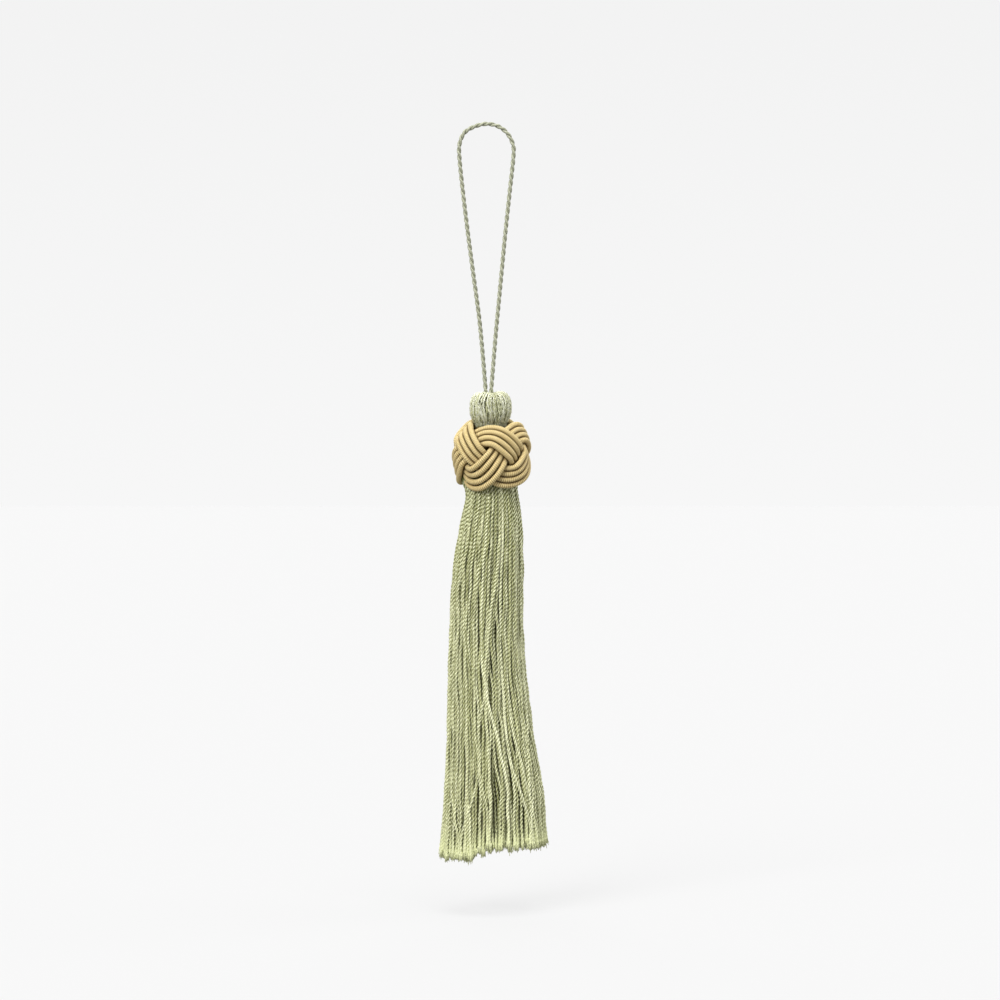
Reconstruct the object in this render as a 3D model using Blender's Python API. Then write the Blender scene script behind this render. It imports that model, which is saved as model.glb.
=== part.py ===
"""Hanging tassel: twisted loop, wound head, woven knot round the neck and a long skirt of yarns.

The origin is the hang point, on the underside of the loop's top arc. +Z is up and the tassel hangs
down from it, -Y is its front. Sizes below are in millimetres and become metres when points are set.
"""

import math

import bmesh
import bpy
import numpy as np

MM = 0.001

# Hanging loop: a two-strand cord, flattened six-sided section turned along its length.
LOOP_CORD = 1.45
LOOP_WAIST = 1.0
LOOP_TURN = 4.4
LOOP_RINGS_A_TURN = 5.5
LOOP_END_Z = -87.2
LOOP_PATH = (
    # x, z of the cord's middle from the left end over the top to the right end
    (-0.45, LOOP_END_Z),
    (-1.55, -79.0),
    (-3.0, -64.0),
    (-4.9, -49.7),
    (-7.0, -33.8),
    (-8.6, -20.4),
    (-9.55, -11.0),
    (-9.6, -6.2),
    (-8.1, -2.4),
    (-5.2, -0.4),
    (-1.0, 0.72),
    (3.0, 0.0),
    (6.2, -2.4),
    (8.1, -6.2),
    (8.2, -10.4),
    (7.0, -21.6),
    (5.4, -36.8),
    (3.9, -52.7),
    (2.5, -68.0),
    (1.85, -79.5),
    (1.60, LOOP_END_Z),
)

# Woven knot: three leads and five bights, one cord followed round four times.
KNOT_X = 1.0
KNOT_Z = -107.3
KNOT_RADIUS = 11.3
KNOT_HEIGHT = 10.7
KNOT_TILT = 0.19
KNOT_DROOP = 0.16
KNOT_FACING = -0.14
KNOT_TOP_HOLE = 6.0
KNOT_FOOT_HOLE = 9.6
KNOT_CORD = 1.58
KNOT_PITCH = 1.86
KNOT_LEADS = 3
KNOT_BIGHTS = 5
KNOT_PASSES = 4
KNOT_REACH = 8.05
KNOT_FLAT_BIGHTS = 0.02
KNOT_LIFT = 1.02
KNOT_START = 186
KNOT_END_GAP = 12
KNOT_LANE_CHANGE = 60
KNOT_STEP = 4
KNOT_POINTS = 385
KNOT_BEND_POINTS = 5.0

# How the knot is drawn up: its cord's points a step apart, moved round by round.
SETTLED_CORD = 1.88
SETTLE_STEP = 0.9
SETTLE_ALONG = 3.5
SETTLE_REACH = 0.8
SETTLE_ROUNDS = 120
SETTLE_AGAIN = 10
SETTLE_PUSH = 0.42
SETTLE_EASE = 0.15
SETTLE_HOLD = 0.02

# Head and skirt: a lattice of strands under the knot, its rim carried up through the neck.
LATTICE = 7
STRAND_GAP = 0.010
STRAND_TAPER = 0.965
STRAND_WAVER = 0.003
ROOT_Z = -120.5
HEAD_ROWS = (
    # z, radius, x of the middle, height of the ribs of yarn, from the skirt's root up to the crown
    (-117.0, 7.95, 1.1, 0.10),
    (-110.0, 8.2, 1.0, 0.10),
    (-105.0, 7.9, 0.9, 0.10),
    (-101.6, 6.4, 0.8, 0.10),
    (-99.0, 5.75, 0.7, 0.10),
    (-97.2, 5.95, 0.7, 0.12),
    (-95.2, 6.6, 0.7, 0.20),
    (-92.8, 7.0, 0.7, 0.24),
    (-90.8, 6.95, 0.7, 0.24),
    (-89.4, 6.45, 0.7, 0.22),
    (-88.4, 5.8, 0.7, 0.20),
    (-87.7, 4.5, 0.65, 0.16),
    (-87.4, 2.9, 0.6, 0.10),
    (-87.7, 1.6, 0.6, 0.05),
)
SKIRT_ROWS = (
    # z, half width, x of the middle, depth as a share of the width, from the root down
    (ROOT_Z, 8.0, 1.2, 1.0),
    (-132.0, 10.5, 0.75, 0.94),
    (-158.0, 12.1, -0.65, 0.9),
    (-182.0, 12.5, -0.5, 0.88),
    (-206.0, 14.3, 1.0, 0.87),
    (-222.0, 16.1, 1.75, 0.86),
    (-239.0, 17.2, 1.65, 0.86),
)
SKIRT_LEVELS = (-132.0, -162.0, -200.0, -239.0)
END_SLANT = 0.135
END_RAGGED = 0.04
LOCKS = 13
LOCKS_FORM = 45.0
LOCK_DRIFT = 0.017
LOCK_GATHER = 0.045
LOCK_GROOVE = 0.03


def clear_scene():
    for item in list(bpy.data.objects):
        bpy.data.objects.remove(item, do_unlink=True)
    for item in list(bpy.data.collections):
        bpy.data.collections.remove(item)


def new_collection(name, hidden=False):
    made = bpy.data.collections.new(name)
    made.hide_render = hidden
    bpy.context.scene.collection.children.link(made)
    return made


def yarn_material(name, colour, roughness):
    made = bpy.data.materials.new(name)
    made.use_nodes = True
    shader = made.node_tree.nodes["Principled BSDF"]
    shader.inputs["Base Color"].default_value = (*colour, 1.0)
    shader.inputs["Roughness"].default_value = roughness
    shader.inputs["Metallic"].default_value = 0.0
    return made


def smooth_step(value):
    value = np.clip(value, 0.0, 1.0)
    return value * value * (3.0 - 2.0 * value)


def cord_curve(name, points, profile, turns=0.0):
    """A closed-off cord of the profile's section along the points, turned about itself as it goes."""
    curve = bpy.data.curves.new(name, "CURVE")
    curve.dimensions = "3D"
    curve.twist_mode = "MINIMUM"
    curve.bevel_mode = "OBJECT"
    curve.bevel_object = profile
    curve.use_fill_caps = True
    spline = curve.splines.new("POLY")
    spline.points.add(len(points) - 1)
    spline.points.foreach_set("co", np.column_stack([points * MM, np.ones(len(points))]).ravel())
    spline.points.foreach_set("tilt", np.linspace(0.0, turns * math.tau, len(points)))
    spline.use_smooth = True
    return bpy.data.objects.new(name, curve)


def section(name, radii, collection):
    """The outline of a cord's section, a point for each radius, equally spaced round it."""
    curve = bpy.data.curves.new(name, "CURVE")
    curve.dimensions = "2D"
    spline = curve.splines.new("POLY")
    spline.points.add(len(radii) - 1)
    for number, (point, radius) in enumerate(zip(spline.points, radii)):
        angle = -number * math.tau / len(radii)
        point.co = (radius * MM * math.cos(angle), radius * MM * math.sin(angle), 0.0, 1.0)
    spline.use_cyclic_u = True
    made = bpy.data.objects.new(name, curve)
    collection.objects.link(made)
    return made


def steps_by(points, weights, count):
    """That many points along the line, spaced by the running sum of the weights of its steps."""
    along = np.concatenate([[0.0], np.cumsum(weights)])
    stops = np.linspace(0.0, along[-1], count)
    return np.column_stack([np.interp(stops, along, axis) for axis in points.T])


def smooth_line(rows, steps_a_row=40):
    """A smooth line through the rows, as many short steps between each two."""
    rows = np.array(rows, float)
    fine = np.linspace(0.0, len(rows) - 1.0, steps_a_row * len(rows))
    start = np.clip(fine.astype(int), 0, len(rows) - 2)
    part = (fine - start)[:, None]
    slope = np.gradient(rows, axis=0)
    return (
        rows[start] * (1 + 2 * part) * (1 - part) ** 2
        + slope[start] * part * (1 - part) ** 2
        + rows[start + 1] * part**2 * (3 - 2 * part)
        + slope[start + 1] * part**2 * (part - 1)
    )


def hanging_loop(parts, cutters):
    line = smooth_line(LOOP_PATH)
    length = np.linalg.norm(np.diff(line, axis=0), axis=1)
    turns = length.sum() / LOOP_TURN
    flat = steps_by(line, length, round(turns * LOOP_RINGS_A_TURN))
    points = np.column_stack([flat[:, 0], np.zeros(len(flat)), flat[:, 1]])
    profile = section("loop_section", (LOOP_CORD / 2, LOOP_WAIST / 2, LOOP_WAIST / 2) * 2, cutters)
    cord = cord_curve("hanging_loop", points, profile, turns)
    cord.data.materials.append(yarn_material("loop_cord_green", (0.40, 0.42, 0.30), 0.75))
    parts.objects.link(cord)
    print("loop cord", round(length.sum(), 1), "mm")


def knot_surface():
    """Tables of the knot's barrel against distance from its middle: radius, height and normal."""
    phi = np.radians(np.linspace(-88.0, 88.0, 353))
    hole = (KNOT_TOP_HOLE + KNOT_FOOT_HOLE) / 2 + (KNOT_TOP_HOLE - KNOT_FOOT_HOLE) / 2 * np.sin(phi)
    radius = hole + (KNOT_RADIUS - hole) * np.cos(phi)
    height = KNOT_HEIGHT * np.sin(phi)
    step = np.hypot(np.diff(radius), np.diff(height))
    along = np.concatenate([[0.0], np.cumsum(step)])
    along -= np.interp(0.0, height, along)
    out = np.gradient(height, along)
    up = -np.gradient(radius, along)
    return along, radius, height, out, up


def knot_path():
    """The gold cord's middle before it is drawn up: over one band and under the next, its lane
    moving across by one pitch on each full pass, behind the knot and under a crossing."""
    whole = 360 * KNOT_LEADS * KNOT_PASSES
    degrees = np.arange(KNOT_START, KNOT_START + whole - KNOT_END_GAP, KNOT_STEP)
    turn = np.radians(degrees)
    wave = turn * KNOT_BIGHTS / KNOT_LEADS
    reach = KNOT_REACH / (1 - KNOT_FLAT_BIGHTS)
    middle = reach * (np.cos(wave) - KNOT_FLAT_BIGHTS * np.cos(3 * wave))
    slope = -reach * KNOT_BIGHTS / KNOT_LEADS * (np.sin(wave) - 3 * KNOT_FLAT_BIGHTS * np.sin(3 * wave))
    along, radius, height, out, up = knot_surface()
    girth = np.interp(middle, along, radius)
    size = np.hypot(girth, slope)
    passes = (degrees - KNOT_START + KNOT_END_GAP / 2) / (360 * KNOT_LEADS)
    change = (passes - np.round(passes)) * 360 * KNOT_LEADS / KNOT_LANE_CHANGE
    lane = np.round(passes) + smooth_step(change + 0.5) - 0.5
    across = (lane - KNOT_PASSES / 2) * KNOT_PITCH
    turn = turn + KNOT_FACING - across * slope / size / girth
    middle = middle + across * girth / size
    leg = degrees % (180 * KNOT_LEADS / KNOT_BIGHTS)
    over = smooth_step((leg - 2) / 18) - 2 * smooth_step((leg - 48) / 12) + smooth_step((leg - 88) / 18)
    reach_out = np.interp(middle, along, radius) + KNOT_LIFT * over * np.interp(middle, along, out)
    rise = np.interp(middle, along, height) + KNOT_LIFT * over * np.interp(middle, along, up)
    across, deep = reach_out * np.sin(turn), -reach_out * np.cos(turn)
    rise += KNOT_TILT * deep + KNOT_DROOP * across * smooth_step(-rise / KNOT_HEIGHT)
    return np.column_stack([KNOT_X + across, deep, KNOT_Z + rise])


def touching_pairs(points):
    """Pairs of points on different turns that are near enough to meet."""
    along = int(SETTLE_ALONG / SETTLE_STEP)
    one, two = [], []
    for row in range(len(points) - along):
        away = np.linalg.norm(points[row + along :] - points[row], axis=1)
        others = row + along + np.nonzero(away < SETTLED_CORD + SETTLE_REACH)[0]
        one.extend([row] * len(others))
        two.extend(others)
    return np.array(one), np.array(two)


def drawn_up(points):
    """The cord settled: touching turns pushed one cord apart, bends eased, a little hold on its place."""
    home = points.copy()
    for turn in range(SETTLE_ROUNDS):
        if turn % SETTLE_AGAIN == 0:
            one, two = touching_pairs(points)
        line = points[one] - points[two]
        length = np.linalg.norm(line, axis=1)
        push = line * (np.clip(SETTLED_CORD - length, 0.0, None) * SETTLE_PUSH / length)[:, None]
        count = np.bincount(one, length < SETTLED_CORD, len(points))
        count += np.bincount(two, length < SETTLED_CORD, len(points))
        move = np.zeros_like(points)
        np.add.at(move, one, push)
        np.add.at(move, two, -push)
        points = points + move / np.maximum(count, 1.0)[:, None]
        points[1:-1] += SETTLE_EASE * ((points[:-2] + points[2:]) / 2 - points[1:-1])
        points += SETTLE_HOLD * (home - points)
    return points


def woven_knot(parts, cutters):
    raw = knot_path()
    length = np.linalg.norm(np.diff(raw, axis=0), axis=1)
    points = drawn_up(steps_by(raw, length, round(length.sum() / SETTLE_STEP)))
    step = np.diff(points, axis=0)
    length = np.linalg.norm(step, axis=1)
    bend = np.linalg.norm(np.diff(step, 2, axis=0, prepend=step[:1], append=step[-1:]), axis=1)
    points = steps_by(points, length + KNOT_BEND_POINTS * bend, KNOT_POINTS)
    profile = section("knot_section", (KNOT_CORD / 2,) * 6, cutters)
    cord = cord_curve("woven_knot", points, profile)
    cord.data.materials.append(yarn_material("gimp_cord_gold", (0.50, 0.385, 0.18), 0.6))
    parts.objects.link(cord)
    print("knot cord", round(length.sum()), "mm")


def row_value(rows, number, z):
    """The value in that column of the rows, at a height between theirs."""
    table = np.array(sorted(rows))
    return float(np.interp(z, table[:, 0], table[:, number]))


def disc_from_hexagon(x, y):
    """A point of the unit hexagon moved to the unit disc, its rings made round and evenly spaced."""
    sector = math.tau / 6
    middle = round(math.atan2(y, x) / sector) * sector
    side = math.atan2(y, x) - middle
    share = math.hypot(x, y) * math.cos(side) / math.cos(sector / 2)
    angle = middle + sector * math.cos(sector / 2) * math.tan(side)
    return share * math.cos(angle), share * math.sin(angle)


def skirt_point(u, v, level):
    """Where the strand whose root is (u, v) of the unit disc stands, that many levels down."""
    levels = (ROOT_Z, *SKIRT_LEVELS)
    whole = min(int(level), len(levels) - 2)
    z = levels[whole] + (level - whole) * (levels[whole + 1] - levels[whole])
    drop = float(smooth_step((ROOT_Z - z) / LOCKS_FORM))
    angle, share = math.atan2(v, u), math.hypot(u, v)
    phase = LOCK_DRIFT * z
    angle += LOCK_GATHER * math.sin(LOCKS * angle + phase) * share**2 * drop
    share *= 1.0 - LOCK_GROOVE * math.cos(LOCKS * angle + phase) * share**2 * drop
    half, middle, depth = (row_value(SKIRT_ROWS, number, z) for number in (1, 2, 3))
    x = middle + half * share * math.cos(angle)
    slant = END_SLANT * (x - middle) * drop * level / (len(levels) - 1)
    return x, half * depth * share * math.sin(angle), z + slant


def head_point(u, v, row):
    """A point of the neck's or head's rim row, its radius raised and sunk by turns as ribs of yarn."""
    z, radius, middle, rib = HEAD_ROWS[row]
    angle = math.atan2(v, u)
    radius += rib * math.cos(3 * LATTICE * angle)
    return middle + radius * math.cos(angle), radius * math.sin(angle), z


def head_and_skirt(parts):
    mesh = bmesh.new()
    bmesh.ops.create_circle(mesh, cap_ends=True, cap_tris=True, segments=6, radius=1.0)
    bmesh.ops.subdivide_edges(mesh, edges=mesh.edges[:], cuts=LATTICE - 1, use_grid_fill=True)
    for vert in mesh.verts:
        if vert.co.length > 0:
            vert.co.x, vert.co.y = disc_from_hexagon(vert.co.x, vert.co.y)
    for face in mesh.faces:
        face.normal_update()
        if face.normal.z > 0:
            face.normal_flip()
    strands = mesh.faces[:]
    rim = [edge for edge in mesh.edges if edge.is_boundary]

    for _ in HEAD_ROWS:
        made = bmesh.ops.extrude_edge_only(mesh, edges=rim)["geom"]
        rim = [item for item in made if isinstance(item, bmesh.types.BMEdge)]
        raised = [item for item in made if isinstance(item, bmesh.types.BMVert)]
        bmesh.ops.translate(mesh, verts=raised, vec=(0.0, 0.0, 1.0))
    bmesh.ops.holes_fill(mesh, edges=rim, sides=0)

    random = np.random.default_rng(7)
    bmesh.ops.inset_individual(mesh, faces=strands, thickness=STRAND_GAP, use_even_offset=True)
    for level in range(1, len(SKIRT_LEVELS) + 1):
        strands = bmesh.ops.extrude_discrete_faces(mesh, faces=strands)["faces"]
        last = level == len(SKIRT_LEVELS)
        for face in strands:
            middle = face.calc_center_median()
            waver = random.uniform(-STRAND_WAVER, STRAND_WAVER, 2)
            longer = random.uniform(-END_RAGGED, END_RAGGED) if last else 0.0
            for vert in face.verts:
                vert.co = middle + (vert.co - middle) * STRAND_TAPER
                vert.co.x += waver[0]
                vert.co.y += waver[1]
                vert.co.z -= 1.0 + longer

    for vert in mesh.verts:
        u, v, row = vert.co
        placed = head_point(u, v, round(row) - 1) if row > 0.5 else skirt_point(u, v, -row)
        vert.co = np.array(placed) * MM
    bmesh.ops.recalc_face_normals(mesh, faces=mesh.faces[:])
    data = bpy.data.meshes.new("head_and_skirt")
    mesh.to_mesh(data)
    mesh.free()
    data.materials.append(yarn_material("skirt_yarn_green", (0.40, 0.41, 0.23), 0.75))
    parts.objects.link(bpy.data.objects.new("head_and_skirt", data))


clear_scene()
tassel = new_collection("tassel")
sections = new_collection("cord_sections", hidden=True)
hanging_loop(tassel, sections)
woven_knot(tassel, sections)
head_and_skirt(tassel)
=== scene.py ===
# %% [markdown]
# # A hanging tassel, made of its yarns
#
# A tassel is a hank of yarn folded over a loop of cord, bound at the neck and cut at the foot. Every
# part of it is a thread, so this lesson builds one thing well, a length of twisted yarn on a path, and
# uses it for the loop, the head and the skirt. The knot round the neck is another kind of cord, a core
# wrapped in fine thread, and gets its own surface.
#
# Sizes are in millimetres in the text and become metres when a mesh is filled. The origin is the hang
# point under the loop's top arc, +Z is up and -Y is the front.

import math

import bpy
import numpy as np
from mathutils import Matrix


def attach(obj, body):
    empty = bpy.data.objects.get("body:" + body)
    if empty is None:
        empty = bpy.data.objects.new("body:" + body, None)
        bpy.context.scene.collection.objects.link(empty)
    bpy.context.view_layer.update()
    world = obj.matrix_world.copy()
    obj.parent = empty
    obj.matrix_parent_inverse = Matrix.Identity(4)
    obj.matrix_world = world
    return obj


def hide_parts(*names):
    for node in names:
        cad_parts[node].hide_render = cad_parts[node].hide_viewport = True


MM = 0.001
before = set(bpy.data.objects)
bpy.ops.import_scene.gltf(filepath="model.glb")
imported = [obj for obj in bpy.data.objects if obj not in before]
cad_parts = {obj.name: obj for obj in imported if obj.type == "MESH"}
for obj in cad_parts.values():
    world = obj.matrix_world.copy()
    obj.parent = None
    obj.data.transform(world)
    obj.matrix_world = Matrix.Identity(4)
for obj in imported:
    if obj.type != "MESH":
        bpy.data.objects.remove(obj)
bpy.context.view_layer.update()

# %% [markdown]
# ## The camera
#
# A long lens on the level of the tassel's middle keeps the long skirt free of perspective. It could be
# aimed with a tracking constraint, but a level camera needs only its place and a quarter turn.

# %% The camera
view = bpy.data.cameras.new("view")
view.lens = 100.0
view.sensor_width = 36.0
camera = bpy.data.objects.new("view", view)
camera.location = (0.0038, -0.9167, -0.1234)
camera.rotation_euler = (math.radians(90.0), 0.0, 0.0)
bpy.context.collection.objects.link(camera)
bpy.context.scene.camera = camera
print("camera", np.round(camera.location, 4), "lens", view.lens)

# %% [markdown]
# ## Lines, and surfaces round them
#
# A thread could be a Blender curve with a bevel, but its twist and its plies are then hard to reach.
# Here a thread is a grid: one direction runs along the path and the other round the section. Many
# threads are worked out together, as arrays of (threads, stops along, corners round, 3).


# %% Lines through points
def smooth_line(rows, count):
    """That many points on the cubic through the rows (along the last axis but one): between two rows
    the line leaves and arrives along the slopes there, which are taken from the rows on either side."""
    fine = np.linspace(0.0, rows.shape[-2] - 1.0, count)
    start = np.clip(fine.astype(int), 0, rows.shape[-2] - 2)
    part = (fine - start)[:, None]
    slope = np.gradient(rows, axis=-2)
    return (
        rows[..., start, :] * (1 + 2 * part) * (1 - part) ** 2
        + slope[..., start, :] * part * (1 - part) ** 2
        + rows[..., start + 1, :] * part**2 * (3 - 2 * part)
        + slope[..., start + 1, :] * part**2 * (part - 1)
    )


def line_length(points):
    """The running length along a line: the sum of its steps so far, zero at its start."""
    steps = np.linalg.norm(np.diff(points, axis=-2), axis=-1)
    return np.concatenate([np.zeros(steps.shape[:-1] + (1,)), np.cumsum(steps, axis=-1)], axis=-1)


def at_lengths(points, lengths):
    """The points of one line at those running lengths, straight between its own points."""
    along = line_length(points)
    return np.column_stack([np.interp(lengths, along, axis) for axis in points.T])


def smooth_step(value):
    """Zero below 0, one above 1, and 3t^2 - 2t^3 between, level at both ends."""
    value = np.clip(value, 0.0, 1.0)
    return value * value * (3.0 - 2.0 * value)


# %% Frames round a line
def unit(vectors):
    return vectors / np.linalg.norm(vectors, axis=-1, keepdims=True)


def frames(points, facing):
    """Two directions square to each line: the part of facing that is square to the line's run, and
    the run crossed with it. Facing never lies along a line here, so no frame turns over."""
    ahead = unit(np.gradient(points, axis=-2))
    side = unit(facing - (facing * ahead).sum(-1, keepdims=True) * ahead)
    return side, np.cross(ahead, side)


def skin(points, facing, radii, angles):
    """The surface round lines: point + radius (cos angle side + sin angle up). Radii and angles have
    an entry for each corner of the section, and may change from stop to stop."""
    side, up = frames(points, facing)
    radii, angles = radii[..., None], angles[..., None]
    outwards = np.cos(angles) * side[..., None, :] + np.sin(angles) * up[..., None, :]
    return points[..., None, :] + radii * outwards


# %% [markdown]
# ## From a grid to a mesh
#
# The grid's neighbours become four-sided faces, wound so that they look outwards, and each end gets
# one flat face, so that a thread is a closed body. Two texture layouts go with it. One follows the
# thread, round it and along it in millimetres, for its fibres. The other gives every thread a strip of
# its own on one shared sheet.


# %% Tubes
# A thread's strip on the sheet, as shares of its room, and the round places of its two ends above it.
STRIP_LEFT, STRIP_WIDTH, STRIP_FOOT, STRIP_HEIGHT = 0.06, 0.88, 0.01, 0.95
ENDS_LEFT, ENDS_APART, ENDS_LEVEL, ENDS_WIDTH, ENDS_HEIGHT = 0.27, 0.46, 0.982, 0.2, 0.012


def tube_tables(threads, stops, corners, length):
    """The tubes' faces (quads, first ends, last ends), as indices into the flattened grid, and the
    texture places of every face corner in the same order: along the thread, and on the sheet."""
    thread, stop, corner = np.meshgrid(
        np.arange(threads), np.arange(stops - 1), np.arange(corners), indexing="ij"
    )
    first = (thread * stops + stop) * corners
    beside = (corner + 1) % corners
    quads = np.stack([
        first + corner, first + beside, first + corners + beside, first + corners + corner,
    ], -1)
    rim = np.arange(threads)[:, None] * stops * corners + np.arange(corners)
    turn = np.stack([corner, corner + 1, corner + 1, corner], -1) / corners
    step = np.stack([stop, stop, stop + 1, stop + 1], -1)
    along = np.stack([turn, step * length / (stops - 1)], -1)
    across = (thread[..., None] + STRIP_LEFT + STRIP_WIDTH * turn) / threads
    sheet = np.stack([across, STRIP_FOOT + STRIP_HEIGHT * step / (stops - 1)], -1)
    angle = np.arange(corners) * math.tau / corners
    ring = np.stack([np.cos(angle) * ENDS_WIDTH / threads, np.sin(angle) * ENDS_HEIGHT], -1)
    spot = np.stack([(np.arange(threads) + ENDS_LEFT) / threads, np.full(threads, ENDS_LEVEL)], -1)
    ends = [spot[:, None] + ring[::-1], spot[:, None] + ring + (ENDS_APART / threads, 0.0)]
    plain = [np.zeros((threads * corners, 2)), np.full((threads * corners, 2), (0.0, length))]
    return (
        [quads.reshape(-1, 4), rim[:, ::-1], rim + (stops - 1) * corners],
        np.concatenate([along.reshape(-1, 2), *plain]),
        np.concatenate([sheet.reshape(-1, 2), *(end.reshape(-1, 2) for end in ends)]),
    )


# %% Filling a mesh
def new_piece(name, points, faces, layouts, values):
    """A mesh object from points in millimetres, lists of faces of one size each, texture layouts by
    name and one number per point by name."""
    mesh = bpy.data.meshes.new(name)
    mesh.vertices.add(len(points))
    mesh.vertices.foreach_set("co", (points * MM).astype(np.float32).ravel())
    corners = np.concatenate([group.ravel() for group in faces]).astype(np.int32)
    sizes = np.concatenate([np.full(len(group), group.shape[1]) for group in faces])
    mesh.loops.add(len(corners))
    mesh.loops.foreach_set("vertex_index", corners)
    mesh.polygons.add(len(sizes))
    mesh.polygons.foreach_set("loop_start", (np.cumsum(sizes) - sizes).astype(np.int32))
    mesh.polygons.foreach_set("use_smooth", np.ones(len(sizes), bool))
    for label, places in layouts.items():
        mesh.uv_layers.new(name=label).data.foreach_set("uv", places.astype(np.float32).ravel())
    for label, numbers in values.items():
        mesh.attributes.new(label, "FLOAT", "POINT").data.foreach_set("value", numbers.astype(np.float32))
    mesh.update(calc_edges=True)
    piece = bpy.data.objects.new(name, mesh)
    bpy.context.collection.objects.link(piece)
    print(name, len(sizes), "faces,", int((sizes - 2).sum()), "triangles")
    return piece


def tubes(name, grid, length, tone, painted_shade, start=0.0):
    """Tubes from their grid (threads, stops, corners, 3), with each thread's tone, how far along it
    a point is from start to 1, and how much painted shade each corner gets, most in the groove
    between two plies."""
    threads, stops, corners = grid.shape[:3]
    shape = (threads, stops, corners)
    values = {
        "tone": np.broadcast_to(tone[:, None, None], shape).ravel(),
        "along": np.broadcast_to(np.linspace(start, 1.0, stops)[:, None], shape).ravel(),
        "painted_shade": np.broadcast_to(painted_shade, shape).ravel(),
    }
    faces, along, sheet = tube_tables(threads, stops, corners, length)
    return new_piece(name, grid.reshape(-1, 3), faces, {"thread": along, "OFBake": sheet}, values)


# %% [markdown]
# ## The hanging loop
#
# The loop is a two-ply cord, two strands laid round each other like a rope. Each strand is a tube of
# its own whose middle runs on a helix round the cord's path, half a turn behind the other one. A
# bevelled curve with a picture of a rope would lose the notched outline that reads as twist.
#
# The path is a list of given points: up the left leg, over the top and down the right one.
# Its ends run a little way down between the yarns of the head.

# %% The loop's path
LOOP_CORD, LOOP_TURN, LOOP_STOPS = 1.52, 4.6, 520
PLY_RADIUS, PLY_SIDES, PLY_TONES = 0.46, 10, np.array([0.35, 0.6])
LOOP_PATH = np.array([
    (-0.75, -89.2), (-0.95, -87.2), (-1.60, -79.0), (-3.0, -64.0), (-4.9, -49.7), (-7.0, -33.8),
    (-8.6, -20.4), (-9.55, -11.0), (-9.6, -6.2), (-8.1, -2.4), (-5.2, -0.4), (-1.0, 0.72),
    (3.0, 0.0), (6.2, -2.4), (8.1, -6.2), (8.2, -10.4), (7.0, -21.6), (5.4, -36.8), (3.9, -52.7),
    (2.45, -68.0), (1.50, -79.5), (0.88, -87.2), (0.75, -89.2),
])
loop_line = np.insert(smooth_line(LOOP_PATH, count=900), 1, 0.0, axis=1)
loop_length = line_length(loop_line)[-1]
print("loop cord", round(loop_length, 1), "mm")

# %% Two plies round the path
loop_stops = at_lengths(loop_line, np.linspace(0.0, loop_length, LOOP_STOPS))
front = np.array([0.0, -1.0, 0.0])
twist = np.linspace(0.0, -loop_length / LOOP_TURN * math.tau, LOOP_STOPS)
side, up = frames(loop_stops, front)
ply_turn = twist + np.array([0.0, math.pi])[:, None]
offset = (LOOP_CORD / 2 - PLY_RADIUS) * (
    np.cos(ply_turn)[..., None] * side + np.sin(ply_turn)[..., None] * up
)
ply_angle = np.arange(PLY_SIDES) * math.tau / PLY_SIDES
ply_grid = skin(
    loop_stops + offset, side, np.full(PLY_SIDES, PLY_RADIUS), ply_angle + ply_turn[..., None]
)
# Painted shade on the inner side of each ply, where it presses on the other one, and none on its outer
# side.
loop_ply_shade = 0.5 - 0.5 * np.cos(ply_angle)
loop_cord = tubes("hanging_loop_cord", ply_grid, loop_length, PLY_TONES, loop_ply_shade)
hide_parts("hanging_loop")

# %% [markdown]
# ## The knot's path
#
# The knot is one cord worked as a ring of three leads and five bights, and followed round four times.
# Its path winds three times round a barrel while it swings up and down five times, which is a cosine
# of 5/3 of the angle. The next pass lies one cord's width beside the last. At each crossing the cord
# is lifted over the band below it or pressed under the one above it.


# %% The barrel
KNOT_MIDDLE = np.array([1.0, 0.0, -107.3])
KNOT_RADIUS, KNOT_HEIGHT = 11.3, 10.7
KNOT_TOP_HOLE, KNOT_FOOT_HOLE = 6.0, 9.6


def knot_barrel():
    """Tables against the distance from the barrel's middle ring: its radius, which is the hole's plus
    (greatest radius - hole) cos phi, its height, H sin phi, and the two parts of its normal."""
    phi = np.radians(np.linspace(-88.0, 88.0, 353))
    hole = (KNOT_TOP_HOLE + KNOT_FOOT_HOLE) / 2 + (KNOT_TOP_HOLE - KNOT_FOOT_HOLE) / 2 * np.sin(phi)
    radius, height = hole + (KNOT_RADIUS - hole) * np.cos(phi), KNOT_HEIGHT * np.sin(phi)
    along = line_length(np.column_stack([radius, height]))
    along -= np.interp(0.0, height, along)
    return along, radius, height, np.gradient(height, along), -np.gradient(radius, along)


# %% The woven line
LEADS, BIGHTS, PASSES = 3, 5, 4
KNOT_PITCH, KNOT_LIFT = 2.02, 1.02
KNOT_REACH, KNOT_FLAT = 7.8, 0.02
KNOT_TILT, KNOT_DROOP, KNOT_FACING = 0.19, 0.16, -0.14
KNOT_SHIFT_TOP, KNOT_SHIFT_FOOT, KNOT_SPREAD = 0.3, 1.0, 0.05
KNOT_SINK, KNOT_NARROW, KNOT_LOBE_UP = 0.7, 0.08, 0.9
KNOT_CALM, KNOT_FADE = 3.0, 6.0
KNOT_START, KNOT_END_GAP, LANE_CHANGE = 186, 12, 60
# Degrees into a leg of the swing, and degrees that it takes: to rise, to cross and to come back.
LEG_CHANGES = ((2, 18), (48, 12), (88, 18))


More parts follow.
